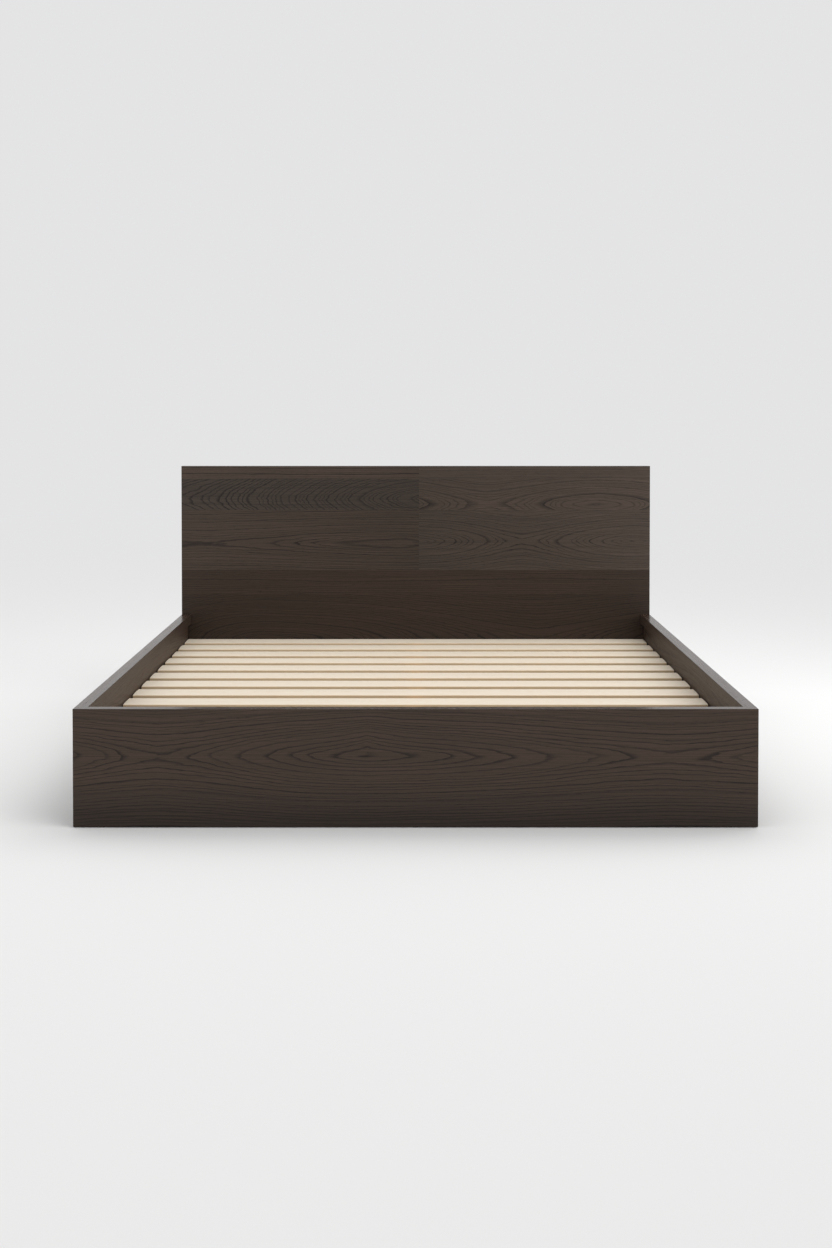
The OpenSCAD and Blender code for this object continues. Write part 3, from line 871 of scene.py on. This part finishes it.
class BED_OT_slats(bpy.types.Operator):
    """Build the row of crowned slats"""

    bl_idname = "bed.slats"
    bl_label = "Slats"

    def execute(self, context):
        sizes = context.scene.bed_sizes
        nodes = sorted(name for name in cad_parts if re.fullmatch(r"slat_\d+", name))
        boxes = [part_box(node) for node in nodes]
        first, last = (self.middle(boxes[k]) for k in (0, -1))
        low, high = (Vector(corner) for corner in boxes[0])
        size = high - low
        mesh = self.slat_mesh(size, sizes.slat_crown, sizes.slat_edge)
        growth = Growth(depth=25, rise=22, reach=(640, 520), ring=2.6, wander=16, seed=51.0)
        material = wood("lacquered birch, slats", slat_birch(), growth, self.grain_place)
        values = {
            "Count": len(nodes),
            "First": first,
            "Step": (last - first) / (len(nodes) - 1),
            "Shift": sizes.slat_shift,
            "Seed": SEED,
            "Material": material,
        }
        piece = grow(mesh, "slat_row", slat_row_group(), values, "pale_birch", *nodes)
        smooth(piece.data, 24)
        return {"FINISHED"}

    @staticmethod
    def middle(box):
        """The middle of a slat's underside."""
        low, high = (Vector(corner) for corner in box)
        spot = (low + high) / 2
        spot.z = low.z
        return spot

    @staticmethod
    def grain_place(tree):
        return add(tree, "ShaderNodeAttribute", attribute_name="grain").outputs["Vector"]

    @staticmethod
    def section(width, thick, crown, edge):
        """The outline of a slat: a crowned top, tangent round upper edges and small lower edges."""
        half = width / 2
        crown_r = (half * half + crown * crown) / (2 * crown)
        turn = math.asin((half - edge) / (crown_r - edge))
        low_r = mm(1.5)
        arcs = [
            ((0, thick - crown_r), crown_r, math.pi / 2, math.pi / 2 - turn, 12),
            (
                ((crown_r - edge) * math.sin(turn), thick - crown_r + (crown_r - edge) * math.cos(turn)),
                edge,
                math.pi / 2 - turn,
                0,
                8,
            ),
            ((half - low_r, low_r), low_r, 0, -math.pi / 2, 4),
        ]
        right = []
        for (x, z), r, start, end, steps in arcs:
            for i in range(steps + 1):
                a = start + (end - start) * i / steps
                right.append((x + r * math.cos(a), z + r * math.sin(a)))
        return right + [(-x, z) for x, z in reversed(right[1:])]

    def slat_mesh(self, size, crown, edge):
        """One slat along X with its underside's middle at the origin, its ends eased by a small bevel."""
        outline = self.section(size.y, size.z, crown, edge)
        ease = mm(0.8)
        shrink = (1 - 2 * ease / size.y, 1 - 2 * ease / size.z)
        bm = bmesh.new()
        rings = []
        half = size.x / 2
        for x, small in ((-half, True), (-half + ease, False), (half - ease, False), (half, True)):
            ring = []
            for y, z in outline:
                if small:
                    y, z = y * shrink[0], ease + z * shrink[1]
                ring.append(bm.verts.new((x, y, z)))
            rings.append(ring)
        count = len(outline)
        for left, right in zip(rings, rings[1:]):
            for i in range(count):
                j = (i + 1) % count
                bm.faces.new((left[i], left[j], right[j], right[i]))
        bm.faces.new(rings[0])
        bm.faces.new(list(reversed(rings[-1])))
        bmesh.ops.recalc_face_normals(bm, faces=bm.faces)
        return mesh_from(bm, "slat_shape")


class BED_OT_supports(bpy.types.Operator):
    """Build the slat ledges, the mid beam and its legs"""

    bl_idname = "bed.supports"
    bl_label = "Slat Supports"

    def execute(self, context):
        radius = context.scene.bed_sizes.edge_radius
        oak, pine = stained_oak(), raw_pine()
        for k, side in enumerate(SIDES):
            growth = Growth(figure=(90, 40), depth=35, rise=14, ring=3.8, tone=0.92, seed=61.0 + k)
            self.bar("slat_ledge_" + side, "ledge_strip_" + side, "Y", "-X", oak, growth, "dark_oak", radius)
        growth = Growth(figure=(140, 12), depth=20, rise=24, ring=3.4, seed=71.0)
        self.bar("mid_beam", "mid_beam_timber", "Y", "-X", pine, growth, "raw_pine", 2 * radius)
        for k, end in enumerate(ENDS):
            growth = Growth(figure=(0, 10), depth=18, rise=6, ring=3.0, seed=81.0 + k)
            name = "centre_leg_post_" + end
            self.bar("centre_leg_" + end, name, "Z", "-X", pine, growth, "raw_pine", 2 * radius)
        return {"FINISHED"}

    @staticmethod
    def bar(node, name, along, face, finish, growth, slot, radius):
        low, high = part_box(node)
        material = board_wood(name.replace("_", " "), finish, growth, node, along, face)
        bm = block(low, high)
        soften(bm, radius)
        piece_from(bm, name, material, BODY, slot, node)


class BED_OT_fasteners(bpy.types.Operator):
    """Set every bolt, screw and glide in its place and finish the steel and brass fittings"""

    bl_idname = "bed.fasteners"
    bl_label = "Fasteners and Fittings"

    def execute(self, context):
        zinc, brass, plastic = bright_zinc(), turned_brass(), moulded_plastic()
        growth = Growth(depth=12, rise=4, ring=1.6, seed=91.0)
        # the birch finish brings its painted shade on the faces across Y to the beech dowels and pegs too
        beech = wood("turned beech", slat_birch(), growth, self.frame_place)
        group = fastener_group()
        rows = (
            ("corner_bolts", "corner_bolt_heads", self.button_bolt(hexagon(mm(1.9))), zinc, "zinc_steel"),
            ("ledge_screws", "ledge_screw_heads", self.sunk_screw(star(mm(1.5))), zinc, "zinc_steel"),
            ("beam_shoe_screws", "shoe_screw_heads", self.pan_screw(star(mm(1.4))), zinc, "zinc_steel"),
            ("floor_glides", "glide_discs", self.glide(), plastic, "black_plastic"),
        )
        for node, name, shape, material, slot in rows:
            self.place(node, name, shape, group, material, slot)
        kept = {
            zinc: ("corner_angle_", "beam_shoe_foot", "beam_shoe_head", "leg_tee_nut_", "leg_hanger_screws"),
            brass: ("threaded_inserts",),
            beech: ("corner_dowels", "slat_pegs"),
        }
        for material, starts in kept.items():
            for name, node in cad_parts.items():
                if name.startswith(starts):
                    node.material_slots[0].material = material
        return {"FINISHED"}

    @staticmethod
    def frame_place(tree):
        spot = add(tree, "ShaderNodeTexCoord").outputs["Object"]
        scale = (1000.0, 1000.0, 1000.0)
        return add(tree, "ShaderNodeMapping", {"Vector": spot, "Scale": scale})

    @staticmethod
    def place(node, name, shape, group, material, slot):
        """Puts a fastener on every solid of a CAD node, its head on the side that faces the bed's middle."""
        bm = bmesh.new()
        facing = bm.verts.layers.float_vector.new("facing")
        for low, high in loose_solids(node):
            middle, size = (low + high) / 2, high - low
            spread = sorted(size)
            odd = 0 if spread[1] - spread[0] > spread[2] - spread[1] else 2
            axis = list(size).index(spread[odd])
            head = Vector((0, 0, 0))
            head[axis] = -1 if middle[axis] > 0 or axis == 2 else 1
            vert = bm.verts.new(middle + head * size[axis] / 2)
            vert[facing] = head
        maker = bpy.data.objects.new(name + "_shape", shape)
        values = {"Fastener": maker, "Seed": SEED, "Material": material}
        grow(mesh_from(bm, name), name, group, values, slot, node)
        bpy.data.objects.remove(maker)

    @staticmethod
    def shape_mesh(bm):
        mesh = mesh_from(bm, "fastener_shape")
        smooth(mesh)
        return mesh

    def button_bolt(self, socket):
        """Button-head bolt: z = 0 is the top of its head."""
        low, high = loose_solids("corner_bolts")[0]
        length = max(high - low)
        shank, head, rise = mm(3), mm(5.7), mm(3.3)
        angles = (0.12, 0.35, 0.6, 0.85, 1.05)
        dome = [(head * math.cos(a), -rise + rise * math.sin(a) ** 0.8) for a in angles]
        profile = [(0, -length), (shank - mm(0.5), -length), (shank, -length + mm(0.5)), (shank, -rise)]
        profile += [(head - mm(0.3), -rise), *dome, (mm(2.6), 0)]
        return self.shape_mesh(turned(profile, 48, (socket, mm(1.9))))

    def sunk_screw(self, socket):
        """Countersunk wood screw: z = 0 is its flat head."""
        low, high = loose_solids("ledge_screws")[0]
        length = max(high - low)
        profile = [(0, -length), (mm(1.2), -length + mm(4)), (mm(2), -length + mm(7)), (mm(2), -mm(2.8))]
        profile += [(mm(3.9), -mm(0.4)), (mm(4), 0)]
        return self.shape_mesh(turned(profile, 48, (socket, mm(1.6))))

    def pan_screw(self, socket):
        """Pan-head wood screw: z = 0 is the top of its head."""
        low, high = loose_solids("beam_shoe_screws")[0]
        length, rise = max(high - low), mm(2.5)
        profile = [(0, -length), (mm(1.2), -length + mm(3)), (mm(2), -length + mm(5)), (mm(2), -rise)]
        profile += [(mm(3.8), -rise), (mm(4), -mm(1.6)), (mm(3.6), -mm(0.7)), (mm(2.8), -mm(0.15))]
        profile += [(mm(2.2), 0)]
        return self.shape_mesh(turned(profile, 48, (socket, mm(1.5))))

    def glide(self):
        """Stick-on glide, seen from below: z = 0 is the face that meets the floor."""
        low, high = loose_solids("floor_glides")[0]
        radius, thick = (high - low).x / 2, (high - low).z
        profile = [(0, -thick), (radius, -thick), (radius, -mm(0.9)), (radius - mm(0.3), -mm(0.3))]
        profile += [(radius - mm(0.9), 0), (0, 0)]
        return self.shape_mesh(turned(profile, 40))


class BED_OT_levellers(bpy.types.Operator):
    """Build the threaded levelling feet under the mid beam's legs"""

    bl_idname = "bed.levellers"
    bl_label = "Levelling Feet"

    def execute(self, context):
        zinc, plastic = bright_zinc("bright zinc plated thread"), moulded_plastic()
        for end in ENDS:
            low, high = corners("levelling_stem_" + end)
            bm = self.threaded_rod((high.x - low.x) / 2, low.z, high.z)
            smooth(self.foot(bm, "stem_thread_", "levelling_stem_", end, zinc, "zinc_steel"), 50)
            low, high = corners("levelling_pad_" + end)
            bm = self.pad((high.x - low.x) / 2, high.z, mm(4))
            smooth(self.foot(bm, "pad_moulding_", "levelling_pad_", end, plastic, "black_plastic"))
        return {"FINISHED"}

    @staticmethod
    def foot(bm, name, node, end, material, slot):
        """Sets a shape that stands on the origin under the leg at one end; returns its mesh."""
        low, high = corners(node + end)
        bmesh.ops.translate(bm, verts=bm.verts, vec=((low.x + high.x) / 2, (low.y + high.y) / 2, 0))
        return piece_from(bm, name + end, material, "leveller_" + end, slot, node + end).data

    @staticmethod
    def threaded_rod(radius, low, high, pitch=mm(1.25), depth=mm(0.65)):
        """A rod whose radius rises and falls with the turn and the height, as a thread does."""
        steps, per_turn = 32, 6
        bm = bmesh.new()
        rows = round((high - low) / pitch * per_turn)
        rings = []
        for k in range(rows + 1):
            z = low + (high - low) * k / rows
            lead_in = min(1, (high - z) / mm(1.5))
            ring = []
            for i in range(steps):
                phase = (z / pitch - i / steps) % 1
                groove = depth * (1 - abs(2 * phase - 1)) ** 0.8
                r = (radius - groove) * (0.82 + 0.18 * lead_in)
                a = 2 * math.pi * i / steps
                ring.append(bm.verts.new((r * math.cos(a), r * math.sin(a), z)))
            rings.append(ring)
        for lower, upper in zip(rings, rings[1:]):
            for i in range(steps):
                j = (i + 1) % steps
                bm.faces.new((lower[i], lower[j], upper[j], upper[i]))
        bm.faces.new(list(reversed(rings[0])))
        bm.faces.new(rings[-1])
        return bm

    @staticmethod
    def pad(radius, height, bore):
        """A moulded foot: rounded flange, waisted cone and a ribbed boss that fingers can turn."""
        steps, ribs = 96, 16
        outline = [(0, 0), (radius - mm(1.6), 0), (radius - mm(0.5), mm(0.5)), (radius, mm(1.4))]
        outline += [(radius, mm(3.4)), (radius - mm(0.8), mm(4.2)), (mm(12.2), mm(5.6)), (mm(9.6), mm(7.6))]
        outline += [(mm(9), mm(8.4)), (mm(9), height - mm(0.8)), (mm(8.4), height)]
        outline += [(bore + mm(0.4), height), (bore, height - mm(0.4)), (bore, mm(3)), (0, mm(3))]
        bm = turned(outline, steps)
        for vert in bm.verts:
            if vert.co.z > mm(8) and math.hypot(vert.co.x, vert.co.y) > mm(8):
                a = math.atan2(vert.co.y, vert.co.x)
                cut = 1 - 0.05 * max(0, math.cos(ribs * a)) ** 0.5
                vert.co.x *= cut
                vert.co.y *= cut
        return bm


class BED_OT_stage(bpy.types.Operator):
    """Build the pale floor, the soft lights and the camera"""

    bl_idname = "bed.stage"
    bl_label = "Stage"

    def execute(self, context):
        stage = context.scene.bed_stage
        context.scene.view_settings.view_transform = "Standard"
        self.floor(stage.backdrop)
        self.world(context.scene, stage.backdrop)
        self.sky("far soft box", towards=(0.75, -0.5, 0.8), spread=50, strength=0.68)
        self.soft_box("top soft box", place=(0.35, 0.8, 3.1), size=2.4, power=27)
        self.soft_box("side soft box", place=(2.5, 0.35, 1.2), size=1.4, power=6)
        self.camera(context.scene, stage)
        return {"FINISHED"}

    @staticmethod
    def floor(backdrop):
        """A matt pale floor that turns into the even backdrop a few metres away from the bed."""
        bm = bmesh.new()
        bmesh.ops.create_circle(bm, cap_ends=True, segments=96, radius=60)
        floor = put("floor", mesh_from(bm, "floor"))
        material, tree = blank("matt painted floor")
        spot = add(tree, "ShaderNodeTexCoord").outputs["Object"]
        away = add(tree, "ShaderNodeVectorMath", [spot], "LENGTH").outputs[1]
        far = add(tree, "ShaderNodeMapRange", [away, 4.0, 13.0], interpolation_type="SMOOTHERSTEP")
        paint = {"Base Color": colour("#ededec"), "Roughness": 0.85, "IOR": 1.2}
        matt = add(tree, "ShaderNodeBsdfPrincipled", paint)
        even = add(tree, "ShaderNodeEmission", {"Color": backdrop})
        mixed = add(tree, "ShaderNodeMixShader", [far, matt, even])
        add(tree, "ShaderNodeOutputMaterial", {"Surface": mixed})
        floor.data.materials.append(material)

    @staticmethod
    def world(scene, backdrop):
        world = bpy.data.worlds.new("studio")
        scene.world = world
        world.use_nodes = True
        world.node_tree.nodes["Background"].inputs["Color"].default_value = backdrop
        world.node_tree.nodes["Background"].inputs["Strength"].default_value = 1.0

    @staticmethod
    def aim(name, lamp, place, towards):
        """Sets a lamp in its place, its beam coming from a direction."""
        holder = put(name, lamp)
        holder.location = place
        holder.rotation_euler = Vector(towards).to_track_quat("Z", "Y").to_euler()

    def sky(self, name, towards, spread, strength):
        """A very large far light, the same all over the set."""
        lamp = bpy.data.lights.new(name, "SUN")
        lamp.angle = math.radians(spread)
        lamp.energy = strength
        self.aim(name, lamp, (0, 0, 6), towards)

    def soft_box(self, name, place, size, power):
        """A square soft box that looks at the middle of the bed."""
        lamp = bpy.data.lights.new(name, "AREA")
        lamp.size = size
        lamp.energy = power
        self.aim(name, lamp, place, Vector(place) - Vector((0, 0, 0.3)))

    @staticmethod
    def camera(scene, stage):
        lens = bpy.data.cameras.new("camera")
        lens.sensor_fit = "VERTICAL"
        lens.sensor_height = 36
        lens.lens = stage.lens
        lens.shift_y = stage.shift
        lens.clip_end = 200
        camera = put("camera", lens)
        camera.location = (mm(1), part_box("footboard")[0][1] - stage.distance, stage.height)
        camera.rotation_euler = (math.pi / 2 - stage.pitch, 0, 0)
        scene.camera = camera


class BED_PT_panel(bpy.types.Panel):
    """Lists the pieces of the bed and the values that shape them"""

    bl_label = "Bed Frame"
    bl_idname = "BED_PT_panel"
    bl_space_type = "VIEW_3D"
    bl_region_type = "UI"
    bl_category = "Bed Frame"

    def draw(self, context):
        for kind in STEPS:
            self.layout.operator(kind.bl_idname)
        for values in (context.scene.bed_sizes, context.scene.bed_colours, context.scene.bed_stage):
            box = self.layout.box()
            for name in values.__annotations__:
                box.prop(values, name)


STEPS = (
    BED_OT_stage,
    BED_OT_box_boards,
    BED_OT_headboard,
    BED_OT_slats,
    BED_OT_supports,
    BED_OT_fasteners,
    BED_OT_levellers,
)
CLASSES = (BedSizes, BedColours, BedStage, *STEPS, BED_PT_panel)


def register():
    for kind in CLASSES:
        bpy.utils.register_class(kind)
    bpy.types.Scene.bed_sizes = PointerProperty(type=BedSizes)
    bpy.types.Scene.bed_colours = PointerProperty(type=BedColours)
    bpy.types.Scene.bed_stage = PointerProperty(type=BedStage)


def unregister():
    del bpy.types.Scene.bed_stage
    del bpy.types.Scene.bed_colours
    del bpy.types.Scene.bed_sizes
    for kind in reversed(CLASSES):
        bpy.utils.unregister_class(kind)


def main():
    register()
    for kind in STEPS:
        group, name = kind.bl_idname.split(".")
        getattr(getattr(bpy.ops, group), name)()


if __name__ == "__main__":
    main()
